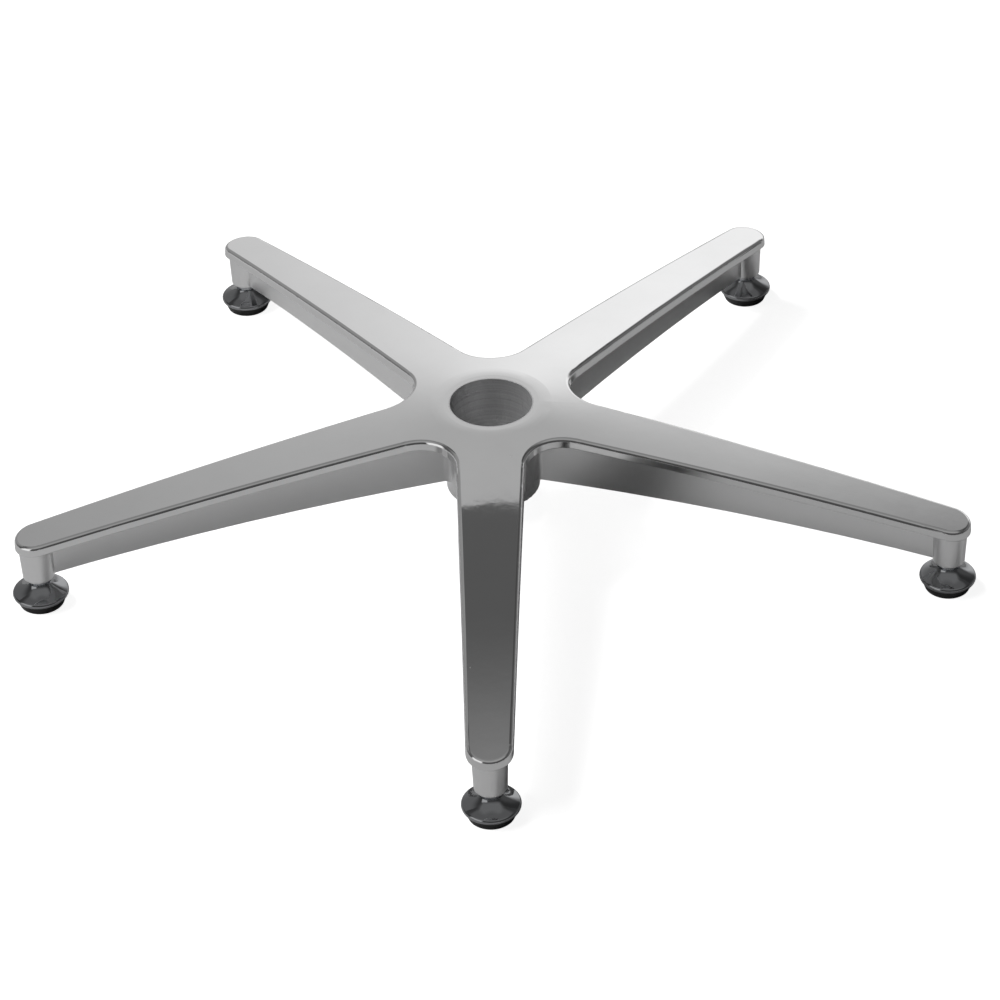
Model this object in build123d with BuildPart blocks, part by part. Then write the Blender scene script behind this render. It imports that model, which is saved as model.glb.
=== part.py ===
from build123d import *
import os
from math import cos, radians, sin, sqrt, tan

# Five-legged cast chair base on five push-in glides.
# Origin at the centre of the lift socket's mouth, +Z up, front leg along -Y.

# Star
leg_count = 5
front_leg_angle = -90.0
hub_height = 77.8
glide_circle_radius = 285.0
tip_overhang = 11.4
leg_half_width_near_hub = 19.8
near_hub_radius = 75.0
leg_half_width_at_tip = 12.9
gap_corner_radius = 24.5

# Top face, bent down at the hub and crowned along each leg
hub_flat_radius = 33.0
hub_bend_radius = 95.0
leg_start_slope = 4.63
leg_crown_radius = 3950.0
top_edge_radius = 2.3
parting_edge_radius = 0.7
flange_depth = 6.6
flange_draft = 4.2

# Web under the middle of each leg
web_thickness = 4.8
web_draft = 1.5
web_arch_radius = 1850.0
web_arch_top_radius = 98.0
web_depth_at_arch_top = 48.5
web_turn_start_radius = 254.0
web_to_sleeve_radius = 5.0
cutting_margin = 20.0

# Hub sleeve and lift socket
sleeve_outer_radius = 28.8
sleeve_length = 60.3
sleeve_edge_radius = 1.2
socket_radius = 25.0
socket_land = 12.0
socket_taper_half_angle = 1.4321
mouth_chamfer = 0.25
sleeve_foot_chamfer = 0.8

# Boss at each tip
boss_top_radius = 10.3
boss_bottom_radius = 9.5
boss_bottom_height = 19.3
boss_edge_radius = 1.3
stem_hole_radius = 5.55
stem_hole_depth = 24.0
stem_hole_chamfer = 0.4

# Glide stem
stem_radius = 5.5
stem_length = 22.0
stem_nose = 1.4
ring_groove_radius = 4.5
ring_groove_length = 5.0
ring_groove_from_nose = 4.2
collar_radius = 7.0
collar_thickness = 2.0
collar_chamfer = 0.4
neck_radius = 5.6
neck_length = 1.9
rivet_radius = 3.6
rivet_head_radius = 5.4
rivet_head_thickness = 1.5

# Grip ring
grip_ring_clearance = 0.1
grip_ring_inner_radius = 4.65
grip_ring_split = 2.4

# Glide cap and pad
cap_wall = 1.2
cap_crown_radius = 6.6
cap_shoulder_radius = 7.9
cap_shoulder_drop = 1.5
cap_cone_start_radius = 15.9
cap_cone_start_height = 9.3
cap_cone_sag = 0.5
cap_rim_radius = 16.8
cap_rim_height = 7.3
cap_lip_height = 6.1
cap_lip_radius = 16.1
pad_seat_radius = 15.6
pad_shoulder_radius = 15.1
pad_shoulder_height = 4.7
pad_foot_radius = 13.3
pad_edge_radius = 0.6
pad_height = 7.9

floor_z = -hub_height
start_tan = tan(radians(leg_start_slope))
leg_end = glide_circle_radius + tip_overhang
tip_centre = leg_end - leg_half_width_at_tip
widening = (leg_half_width_near_hub - leg_half_width_at_tip) / (tip_centre - near_hub_radius)
beyond = leg_end + cutting_margin
below = sleeve_length + cutting_margin


def leg_half_width(radius):
    """Half width of a leg at its top edge."""
    return leg_half_width_at_tip + widening * (tip_centre - radius)


def top_z(radius, lowered=0.0):
    """Height of the crowned top face along a leg, or of a face the given depth below it."""
    run = radius - hub_flat_radius
    return -start_tan * run - run**2 / (2 * leg_crown_radius) - lowered


def star_plan(inset, draft=0.0, plane_z=0.0, corner_radius=0.0):
    """Plan of the five legs at a height; at the top face it is set in all round from the legs' edge."""
    growth = tan(radians(draft))
    hub_half = leg_half_width(0.0) - inset + growth * (top_z(0.0) - plane_z)
    tip_half = leg_half_width_at_tip - inset + growth * (top_z(tip_centre) - plane_z)
    with BuildSketch() as one_leg:
        Circle(hub_half)
        with Locations((tip_centre, 0)):
            Circle(tip_half)
        make_hull()
    with BuildSketch() as plan:
        with PolarLocations(0, leg_count, start_angle=front_leg_angle):
            add(one_leg.sketch)
        if corner_radius > 0:
            fillet(plan.vertices().group_by(SortBy.DISTANCE)[0], radius=corner_radius)
    return plan.sketch


def layer_profile(upper, lower):
    """Half section of the layer between two depths below the top face."""
    with BuildSketch(Plane.XZ) as section:
        with BuildLine():
            crown = TangentArc(
                (hub_flat_radius, -upper),
                (beyond, top_z(beyond, upper)),
                tangent=(1, -start_tan),
            )
            underside = TangentArc(
                (hub_flat_radius, -lower),
                (beyond, top_z(beyond, lower)),
                tangent=(1, -start_tan),
            )
            Line(crown @ 1, underside @ 1)
            Polyline(underside @ 0, (0, -lower), (0, -upper), crown @ 0)
        make_face()
        bends = section.vertices().filter_by(lambda v: abs(v.X - hub_flat_radius) < 1e-6)
        fillet(bends, radius=hub_bend_radius)
    return section.sketch


# Flange: the flat top plate of the star with its side band
with BuildPart() as flange:
    with BuildSketch():
        add(star_plan(0.0, flange_draft, corner_radius=gap_corner_radius))
    extrude(amount=-below, taper=-flange_draft)
    with BuildSketch(Plane.XZ):
        add(layer_profile(0.0, flange_depth))
    revolve(axis=Axis.Z, mode=Mode.INTERSECT)
    top_face = flange.faces().sort_by(SortBy.AREA)[-2:].sort_by(Axis.Z)[-1]
    fillet(top_face.outer_wire().edges(), radius=top_edge_radius)
    underside_face = flange.faces().sort_by(SortBy.AREA)[-2:].sort_by(Axis.Z)[0]
    fillet(underside_face.outer_wire().edges(), radius=parting_edge_radius)

# Web: one drafted wall under the middle of a leg, its arched lower edge turned down into the boss
web_top = 0.5 * flange_depth
boss_bottom_z = floor_z + boss_bottom_height
web_end_z = boss_bottom_z + boss_edge_radius


def arch_z(radius):
    """Height of the web's lower edge along the arch."""
    return -web_depth_at_arch_top - (radius - web_arch_top_radius) ** 2 / (2 * web_arch_radius)


with BuildPart() as web:
    with BuildSketch(Plane.XY.offset(boss_bottom_z)):
        Rectangle(glide_circle_radius, web_thickness, align=(Align.MIN, Align.CENTER))
    extrude(amount=-boss_bottom_z, taper=-web_draft)
    with BuildSketch(Plane.XZ):
        with BuildLine():
            arch = ThreePointArc(
                (0, arch_z(0)),
                (web_arch_top_radius, arch_z(web_arch_top_radius)),
                (web_turn_start_radius, arch_z(web_turn_start_radius)),
            )
            turn = TangentArc(
                arch @ 1,
                (glide_circle_radius - boss_bottom_radius, web_end_z),
                tangent=arch % 1,
            )
            Polyline(
                turn @ 1,
                (glide_circle_radius, web_end_z),
                (glide_circle_radius, top_z(glide_circle_radius, web_top)),
                (hub_flat_radius, -web_top),
                (0, -web_top),
                (0, arch_z(0)),
            )
        make_face()
    extrude(amount=glide_circle_radius, both=True, mode=Mode.INTERSECT)

# Lift socket: a short straight land at the mouth, then the seat's taper down to the sleeve's foot
taper_in = (sleeve_length - socket_land) * tan(radians(socket_taper_half_angle))
with BuildPart() as socket:
    with BuildSketch(Plane.XZ):
        Polygon(
            (0, 0),
            (socket_radius + mouth_chamfer, 0),
            (socket_radius, -mouth_chamfer),
            (socket_radius, -socket_land),
            (socket_radius - taper_in, -sleeve_length),
            (0, -sleeve_length),
            align=None,
        )
    revolve(axis=Axis.Z)

# Boss under each tip, drafted towards its rounded foot
with BuildPart() as boss:
    Cone(
        boss_bottom_radius,
        boss_top_radius,
        top_z(glide_circle_radius, web_top) - boss_bottom_z,
        align=(Align.CENTER, Align.CENTER, Align.MIN),
    )
    fillet(boss.edges().sort_by(Axis.Z)[0], radius=boss_edge_radius)

# Blind hole for a glide's stem, with a chamfered mouth
with BuildPart() as stem_hole:
    Cylinder(stem_hole_radius, stem_hole_depth, align=(Align.CENTER, Align.CENTER, Align.MIN))
    Cone(
        stem_hole_radius + stem_hole_chamfer,
        stem_hole_radius,
        stem_hole_chamfer,
        align=(Align.CENTER, Align.CENTER, Align.MIN),
    )

# Core: sleeve, webs and bosses below the flange, with cast fillets where the webs meet the sleeve
with BuildPart() as core:
    with BuildSketch(Plane.XZ) as sleeve_section:
        with Locations((0, -sleeve_length)):
            Rectangle(sleeve_outer_radius, sleeve_length - web_top, align=(Align.MIN, Align.MIN))
        fillet(sleeve_section.vertices().sort_by(Axis.X)[-2:].sort_by(Axis.Y)[0], radius=sleeve_edge_radius)
    revolve(axis=Axis.Z)
    with PolarLocations(glide_circle_radius, leg_count, start_angle=front_leg_angle):
        with Locations((0, 0, boss_bottom_z)):
            add(boss.part)
    with PolarLocations(0, leg_count, start_angle=front_leg_angle):
        add(web.part)
    upright_edges = core.edges().filter_by(lambda e: abs((e @ 1 - e @ 0).Z) > 0.9 * e.length)
    web_roots = upright_edges.filter_by(
        lambda e: sqrt(e.center().X ** 2 + e.center().Y ** 2) < sleeve_outer_radius and e.length < web_depth_at_arch_top
    )
    fillet(web_roots, radius=web_to_sleeve_radius)

# The casting: flange, core, socket and stem holes in one piece
with BuildPart() as base_casting:
    add(flange.part)
    add(core.part)
    add(socket.part, mode=Mode.SUBTRACT)
    with PolarLocations(glide_circle_radius, leg_count, start_angle=front_leg_angle):
        with Locations((0, 0, boss_bottom_z)):
            add(stem_hole.part, mode=Mode.SUBTRACT)

os.makedirs("parts", exist_ok=True)
base_casting.part.label = "base_casting"
export_step(base_casting.part, "parts/base_casting.step")

# Heights in a glide, from the floor up
collar_foot = boss_bottom_height - collar_thickness
crown_top = collar_foot - neck_length
crown_under = crown_top - cap_wall
rivet_foot = crown_under - rivet_head_thickness
stem_top = boss_bottom_height + stem_length
groove_top = stem_top - ring_groove_from_nose
groove_foot = groove_top - ring_groove_length

for number in range(1, leg_count + 1):
    turned = radians(front_leg_angle + (number - 1) * 360 / leg_count)
    outward = Vector(cos(turned), sin(turned), 0)
    foot = outward * glide_circle_radius + Vector(0, 0, floor_z)
    section_plane = Plane(origin=foot, x_dir=outward, z_dir=outward.rotate(Axis.Z, -90))
    glide_axis = Axis(foot, (0, 0, 1))

    # Turned stem: nose, ring groove, collar under the boss, neck, and the rivet that holds the cap
    with BuildPart() as glide_stem:
        with BuildSketch(section_plane):
            Polygon(
                (0, rivet_foot),
                (rivet_head_radius, rivet_foot),
                (rivet_head_radius, crown_under),
                (rivet_radius, crown_under),
                (rivet_radius, crown_top),
                (neck_radius, crown_top),
                (neck_radius, collar_foot),
                (collar_radius - collar_chamfer, collar_foot),
                (collar_radius, collar_foot + collar_chamfer),
                (collar_radius, boss_bottom_height - collar_chamfer),
                (collar_radius - collar_chamfer, boss_bottom_height),
                (stem_radius, boss_bottom_height),
                (stem_radius, groove_foot),
                (ring_groove_radius, groove_foot),
                (ring_groove_radius, groove_top),
                (stem_radius, groove_top),
                (stem_radius, stem_top - stem_nose),
                (stem_radius - stem_nose, stem_top),
                (0, stem_top),
                align=None,
            )
        revolve(axis=glide_axis)
    glide_stem.part.label = f"glide_stem_{number}"
    export_step(glide_stem.part, f"parts/glide_stem_{number}.step")

    # Split ring of spring steel in the stem's groove, gripping the wall of the hole
    with BuildPart() as grip_ring:
        with BuildSketch(section_plane):
            with Locations((grip_ring_inner_radius, groove_foot + grip_ring_clearance)):
                Rectangle(
                    stem_hole_radius - grip_ring_inner_radius,
                    ring_groove_length - 2 * grip_ring_clearance,
                    align=(Align.MIN, Align.MIN),
                )
        revolve(axis=glide_axis)
        with BuildSketch(section_plane):
            with Locations((0, groove_foot)):
                Rectangle(stem_hole_radius + 1, ring_groove_length, align=(Align.MIN, Align.MIN))
        extrude(amount=grip_ring_split / 2, both=True, mode=Mode.SUBTRACT)
    grip_ring.part.label = f"grip_ring_{number}"
    export_step(grip_ring.part, f"parts/grip_ring_{number}.step")

    # Pressed cap: crown under the neck, hollowed cone, rolled rim and a lip round the pad
    cone_drop = crown_top - cap_shoulder_drop - cap_cone_start_height
    cone_run = cap_cone_start_radius - cap_shoulder_radius
    under_cone = cap_wall * sqrt(1 + (cone_drop / cone_run) ** 2) + cap_cone_sag
    with BuildPart() as glide_cap:
        with BuildSketch(section_plane):
            with BuildLine():
                lip = (cap_lip_radius, cap_lip_height)
                cone_start = (cap_cone_start_radius, cap_cone_start_height)
                shoulder = (cap_shoulder_radius, crown_top - cap_shoulder_drop)
                ThreePointArc(lip, (cap_rim_radius, cap_rim_height), cone_start)
                cone = SagittaArc(cone_start, shoulder, cap_cone_sag)
                TangentArc(shoulder, (cap_crown_radius, crown_top), tangent=cone % 1)
                Polyline(
                    (cap_crown_radius, crown_top),
                    (rivet_radius, crown_top),
                    (rivet_radius, crown_under),
                    (rivet_head_radius + 0.2, crown_under),
                    (cap_shoulder_radius, crown_top - cap_shoulder_drop - under_cone),
                    (pad_seat_radius, cap_cone_start_height - under_cone + 0.5),
                    (pad_seat_radius, cap_lip_height),
                    lip,
                )
            make_face()
        revolve(axis=glide_axis)
    glide_cap.part.label = f"glide_cap_{number}"
    export_step(glide_cap.part, f"parts/glide_cap_{number}.step")

    # Pad: the foot on the floor, pressed into the cap's lip
    with BuildPart() as glide_pad:
        with BuildSketch(section_plane) as pad_section:
            Polygon(
                (0, 0),
                (pad_foot_radius, 0),
                (pad_shoulder_radius, pad_shoulder_height),
                (pad_seat_radius, cap_lip_height),
                (pad_seat_radius, pad_height),
                (0, pad_height),
                align=None,
            )
            fillet(pad_section.vertices().sort_by(Axis.Y)[:2].sort_by(Axis.X)[-1], radius=pad_edge_radius)
        revolve(axis=glide_axis)
    glide_pad.part.label = f"glide_pad_{number}"
    export_step(glide_pad.part, f"parts/glide_pad_{number}.step")
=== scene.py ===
import bpy
from math import pi, radians
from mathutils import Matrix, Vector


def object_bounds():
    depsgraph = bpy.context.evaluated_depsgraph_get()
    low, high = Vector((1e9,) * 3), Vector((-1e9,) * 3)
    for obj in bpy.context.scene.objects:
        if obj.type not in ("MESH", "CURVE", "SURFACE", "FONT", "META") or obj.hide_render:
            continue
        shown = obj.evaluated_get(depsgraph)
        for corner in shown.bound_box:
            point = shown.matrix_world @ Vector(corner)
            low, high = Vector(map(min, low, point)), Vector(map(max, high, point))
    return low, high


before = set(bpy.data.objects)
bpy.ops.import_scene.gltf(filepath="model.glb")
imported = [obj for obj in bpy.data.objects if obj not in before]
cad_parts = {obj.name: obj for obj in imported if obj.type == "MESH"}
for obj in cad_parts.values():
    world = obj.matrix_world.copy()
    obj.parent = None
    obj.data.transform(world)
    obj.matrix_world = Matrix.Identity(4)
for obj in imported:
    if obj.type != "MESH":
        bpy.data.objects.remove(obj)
cad_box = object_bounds()

# Camera
# The photograph is taken with a long lens from above the front leg, a little from its right and slightly rolled.
bpy.ops.object.camera_add(
    location=(0.04113, -1.67741, 1.17387), rotation=(radians(53.3474), radians(1.4241), radians(0.2219))
)
camera = bpy.context.object
camera.name = "camera"
camera.data.lens = 121.54
camera.data.sensor_width = 36.0
bpy.context.scene.camera = camera
bpy.context.scene.view_settings.view_transform = "Standard"

# Studio world
# The camera sees it plain white. The metal mirrors a bright sweep behind the object that ends in a sharp upper edge,
# a dim ceiling, a soft light over the camera, a pale panel at the left front and a dark room around them.


class Socket:
    """One output of a shader graph, so that sums and products of outputs can be written as formulas."""

    def __init__(self, graph, output):
        self.graph = graph
        self.output = output

    def math(self, operation, other):
        return self.graph.node("ShaderNodeMath", {"operation": operation}, [self, other])

    def __add__(self, other):
        return self.math("ADD", other)

    __radd__ = __add__

    def __sub__(self, other):
        return self.math("SUBTRACT", other)

    def __rsub__(self, other):
        return self.graph.node("ShaderNodeMath", {"operation": "SUBTRACT"}, [other, self])

    def __mul__(self, other):
        return self.math("MULTIPLY", other)

    __rmul__ = __mul__

    def __truediv__(self, other):
        return self.math("DIVIDE", other)

    def __rtruediv__(self, other):
        return self.graph.node("ShaderNodeMath", {"operation": "DIVIDE"}, [other, self])

    def __pow__(self, other):
        return self.math("POWER", other)

    def __getitem__(self, name):
        """Another output of the same node."""
        return Socket(self.graph, self.output.node.outputs[name])


class Graph:
    """The node tree of one material or of the world."""

    def __init__(self, owner):
        owner.use_nodes = True
        self.owner = owner
        self.tree = owner.node_tree
        self.tree.nodes.clear()

    def node(self, kind, settings, values):
        """Adds a node. Values is a list in socket order or a dict by socket, and each is a constant or a Socket."""
        made = self.tree.nodes.new(kind)
        for key, value in settings.items():
            setattr(made, key, value)
        for key, value in values.items() if isinstance(values, dict) else enumerate(values):
            if isinstance(value, Socket):
                self.tree.links.new(value.output, made.inputs[key])
            else:
                made.inputs[key].default_value = value
        return Socket(self, made.outputs[0]) if made.outputs else None

    def step(self, value, low, high):
        """0 below low, 1 above high and smooth between them; high may be the smaller."""
        return self.node(
            "ShaderNodeMapRange",
            {"interpolation_type": "SMOOTHSTEP"},
            {"Value": value, "From Min": low, "From Max": high},
        )

    def noise(self, place, scale, detail=2.0, roughness=0.5):
        """Noise between 0 and 1, its scale in cells per metre."""
        return self.node(
            "ShaderNodeTexNoise", {}, {"Vector": place, "Scale": scale, "Detail": detail, "Roughness": roughness}
        )

    def mix(self, factor, low, high):
        """Mixes two numbers."""
        return self.node("ShaderNodeMix", {"data_type": "FLOAT"}, {0: factor, 2: low, 3: high})

    def lean(self, factor, low, high):
        """Mixes two normals."""
        made = self.node("ShaderNodeMix", {"data_type": "VECTOR"}, {0: factor, 4: low, 5: high})
        return Socket(self, made.output.node.outputs[1])

    def blend(self, factor, low, high):
        """Mixes two colours."""
        made = self.node("ShaderNodeMix", {"data_type": "RGBA"}, {0: factor, 6: low, 7: high})
        return Socket(self, made.output.node.outputs[2])


graph = Graph(bpy.data.worlds.new("studio"))
bpy.context.scene.world = graph.owner
ray = graph.node("ShaderNodeLightPath", {}, {})
direction = graph.node("ShaderNodeSeparateXYZ", {}, [graph.node("ShaderNodeTexCoord", {}, {})])
across, away = direction["X"], direction["Y"]
up = graph.node("ShaderNodeMath", {"operation": "ARCSINE"}, [direction["Z"]]) * (180 / pi)
turn = graph.node("ShaderNodeMath", {"operation": "ARCTAN2"}, [across, away]) * (180 / pi)
camera_side = graph.step(turn * turn, 70.0**2, 110.0**2)
glow = graph.step(up, 41.5, 24.5) * graph.step(up, -8.0, 14.0) * graph.step(turn, -22.0, 8.0)
wall = 0.44 + 0.56 * glow - 0.16 * graph.step(turn, -12.0, -34.0)
wall = wall * (1.0 - 0.85 * graph.step(turn + 0.8 * up, 42.0, 62.0))
wall = wall * (1.0 - 0.6 * graph.step(turn, -50.0, -85.0))
ceiling = 0.1 + 0.14 * graph.step(up, 52.0, 60.0)
strip = graph.step(up, 25.0, 52.0) * graph.step(turn * turn + 4.0 * up * up, 110.0**2, 150.0**2)
overhead = 0.07 + 0.27 * strip - 0.1 * graph.step(up, 68.0, 84.0)
panel = 0.85 * graph.step(turn, -152.0, -143.0) * graph.step(turn, -98.0, -108.0) * graph.step(up, 42.0, 32.0)
level = graph.mix(graph.step(up, 47.62, 47.78), wall, ceiling)
level = graph.mix(camera_side, level, overhead) + panel
level = level * graph.mix(ray["Is Glossy Ray"], 0.06, 1.0)
studio = graph.node("ShaderNodeBackground", {}, {"Color": (1, 1, 1, 1), "Strength": level})
white = graph.node("ShaderNodeBackground", {}, {"Color": (1, 1, 1, 1), "Strength": 1.0})
seen = graph.node("ShaderNodeMixShader", {}, [ray["Is Camera Ray"], studio, white])
graph.node("ShaderNodeOutputWorld", {}, {"Surface": seen})

# Lamps
# A key softbox behind the object on the left throws the legs' shadows to the front and right. A wide fill from the
# left lights the floor before the webs and the turned wall of the socket. The metal mirrors the lit floor, but not
# the lamps.
for name, place, size, power in (
    ("key_softbox", (-2.3, 1.6, 3.0), 1.1, 62.0),
    ("fill_softbox", (-2.4, -0.9, 2.2), 1.6, 30.0),
):
    bpy.ops.object.light_add(type="AREA", location=place)
    lamp = bpy.context.object
    lamp.name = name
    lamp.rotation_euler = lamp.location.to_track_quat("Z", "Y").to_euler()
    lamp.data.size = size
    lamp.data.energy = power
    lamp.visible_glossy = False

# Floor
# A plain pale sweep. The camera sees it white but for the soft shadow of the object, and the metal mirrors its true
# grey.
bpy.ops.mesh.primitive_plane_add(size=8, location=(0, 0, cad_box[0][2]))
floor = bpy.context.object
floor.name = "floor"
graph = Graph(bpy.data.materials.new("pale_floor"))
ray = graph.node("ShaderNodeLightPath", {}, {})
paper = graph.node("ShaderNodeBsdfDiffuse", {}, {"Color": (0.85, 0.85, 0.85, 1)})
shown = 0.9 * ray["Is Camera Ray"] + 0.01 * (ray["Is Glossy Ray"] + ray["Is Transmission Ray"])
lit = graph.node("ShaderNodeEmission", {}, {"Color": (1, 1, 1, 1), "Strength": shown})
graph.node("ShaderNodeOutputMaterial", {}, {"Surface": graph.node("ShaderNodeAddShader", {}, [paper, lit])})
floor.data.materials.append(graph.owner)

# Base casting
# The real one is gravity-cast aluminium in one piece. Its flat star and side bands are ground and buffed lengthwise
# to a near mirror, the webs, sleeve and bosses keep a satin cast skin, and the lift socket is turned.
hub_flat_radius = 0.033
leg_start_slope = 0.08099
leg_crown_radius = 3.95
flange_depth = 0.0065
turned_radius = 0.0258
leg_pitch = 2 * pi / 5


def dress(kind, graph, sockets):
    """Ends a finish with its shader and gives it to every piece whose name begins with the kind."""
    shader = graph.node("ShaderNodeBsdfPrincipled", {}, sockets)
    graph.node("ShaderNodeOutputMaterial", {}, {"Surface": shader})
    for name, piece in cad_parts.items():
        if name.startswith(kind):
            for holder in piece.material_slots:
                holder.material = graph.owner


graph = Graph(bpy.data.materials.new("cast_aluminium"))
place = graph.node("ShaderNodeTexCoord", {}, {})["Object"]
spot = graph.node("ShaderNodeSeparateXYZ", {}, [place])
x, y, z = spot["X"], spot["Y"], spot["Z"]
radius = (x * x + y * y) ** 0.5
run = graph.node("ShaderNodeMath", {"operation": "MAXIMUM"}, [radius - hub_flat_radius, 0.0])
depth = -leg_start_slope * run - run * run / (2 * leg_crown_radius) - z
facing = graph.node("ShaderNodeSeparateXYZ", {}, [graph.node("ShaderNodeNewGeometry", {}, {})["Normal"]])
buffed = graph.step(depth, flange_depth + 0.0002, flange_depth - 0.0002) * graph.step(facing["Z"], -0.4, -0.2)
turned = graph.step(radius, turned_radius + 0.0004, turned_radius - 0.0004)
bearing = graph.node("ShaderNodeMath", {"operation": "ARCTAN2"}, [y, x]) + (2 * pi + pi / 2 + leg_pitch / 2)
from_leg = graph.node("ShaderNodeMath", {"operation": "MODULO"}, [bearing, leg_pitch]) - leg_pitch / 2
lengthwise = graph.node("ShaderNodeCombineXYZ", {}, [radius * 25.0, radius * from_leg * 1800.0, bearing])
streaks = graph.noise(lengthwise, 1.0, 3.0)
waves = graph.noise(place, 110.0, 3.0, 0.45)
clouds = graph.noise(place, 22.0, 4.0, 0.6)
cells = graph.node("ShaderNodeTexVoronoi", {}, {"Vector": place, "Scale": 85.0})
chosen = graph.node("ShaderNodeSeparateColor", {}, [cells["Color"]])
pits = graph.step(cells, 0.03, 0.018) * graph.step(chosen["Red"], 0.12, 0.1)
grain = graph.noise(place, 1100.0, 3.0, 0.6)
rings = graph.noise(graph.node("ShaderNodeCombineXYZ", {}, [0.0, 0.0, z]), 600.0, 5.0, 0.75)
polish_bump = graph.node("ShaderNodeBump", {}, {"Height": waves - 3.0 * pits, "Distance": 0.000012})
polish_bump = graph.node("ShaderNodeBump", {}, {"Height": streaks, "Distance": 0.000002, "Normal": polish_bump})
skin_bump = graph.node("ShaderNodeBump", {}, {"Height": grain, "Distance": 0.00002})
bore_bump = graph.node("ShaderNodeBump", {}, {"Height": rings, "Distance": 0.0002})
bump = graph.lean(turned, graph.lean(buffed, skin_bump, polish_bump), bore_bump)
polish = 0.01 + 0.06 * clouds * clouds + 0.02 * streaks + 0.3 * pits
skin = 0.26 + 0.1 * grain
colour = graph.blend(clouds * buffed, (0.88, 0.88, 0.882, 1), (0.8, 0.8, 0.802, 1))
colour = graph.blend(turned * graph.step(rings, 0.35, 0.65), colour, (0.66, 0.66, 0.67, 1))
roughness = graph.mix(turned, graph.mix(buffed, skin, polish), 0.14)
metallic = 1.0 - 0.5 * turned
dress("base_casting", graph, {"Base Color": colour, "Metallic": metallic, "Roughness": roughness, "Normal": bump})

# Glide stems
# Each is a turned steel pin with a collar, pushed up into its boss and riveted to the cap. It is zinc plated, so it
# is a cool grey with faint turning lines and a little bloom.
graph = Graph(bpy.data.materials.new("zinc_plate"))
place = graph.node("ShaderNodeTexCoord", {}, {})["Object"]
spot = graph.node("ShaderNodeSeparateXYZ", {}, [place])
bloom = graph.noise(place, 350.0, 4.0, 0.6)
lines = graph.noise(graph.node("ShaderNodeCombineXYZ", {}, [0.0, 0.0, spot["Z"]]), 2200.0)
dress(
    "glide_stem",
    graph,
    {
        "Base Color": graph.blend(bloom, (0.56, 0.58, 0.62, 1), (0.7, 0.71, 0.72, 1)),
        "Metallic": 1.0,
        "Roughness": 0.18 + 0.16 * bloom,
        "Normal": graph.node("ShaderNodeBump", {}, {"Height": lines, "Distance": 0.00001}),
    },
)

# Spring rings
# Each is a split ring of hardened and oiled spring steel that sits in the stem's groove and grips the boss. The steel
# is dark with a brown and blue cast from tempering.
graph = Graph(bpy.data.materials.new("spring_steel"))
temper = graph.noise(graph.node("ShaderNodeTexCoord", {}, {})["Object"], 240.0, 3.0)
dress(
    "grip_ring",
    graph,
    {
        "Base Color": graph.blend(temper, (0.2, 0.17, 0.15, 1), (0.2, 0.24, 0.32, 1)),
        "Metallic": 1.0,
        "Roughness": 0.26 + 0.14 * temper,
    },
)

# Glide caps
# Each is a pressed steel bell, chromium plated over nickel. The plate is a dark mirror with slight ripples from the
# press and a few hairline rubs.
graph = Graph(bpy.data.materials.new("chrome_plate"))
place = graph.node("ShaderNodeTexCoord", {}, {})["Object"]
ripple = graph.noise(place, 190.0, 2.0)
rubs = graph.step(graph.noise(place, 900.0, 5.0, 0.7), 0.6, 0.72)
dress(
    "glide_cap",
    graph,
    {
        "Base Color": (0.32, 0.325, 0.335, 1),
        "Metallic": 1.0,
        "Roughness": 0.035 + 0.12 * rubs,
        "Normal": graph.node("ShaderNodeBump", {}, {"Height": ripple, "Distance": 0.00005}),
    },
)

# Glide pads
# Each is injection-moulded black polymer, snapped into the cap's rim. Its skin is finely eroded by the mould and a
# little shiny where it has rubbed.
graph = Graph(bpy.data.materials.new("black_polymer"))
place = graph.node("ShaderNodeTexCoord", {}, {})["Object"]
erosion = graph.noise(place, 1500.0, 3.0, 0.6)
wear = graph.noise(place, 90.0, 3.0)
dress(
    "glide_pad",
    graph,
    {
        "Base Color": graph.blend(wear, (0.004, 0.004, 0.0045, 1), (0.01, 0.01, 0.01, 1)),
        "Roughness": 0.38 + 0.2 * wear,
        "Normal": graph.node("ShaderNodeBump", {}, {"Height": erosion, "Distance": 0.00004}),
    },
)
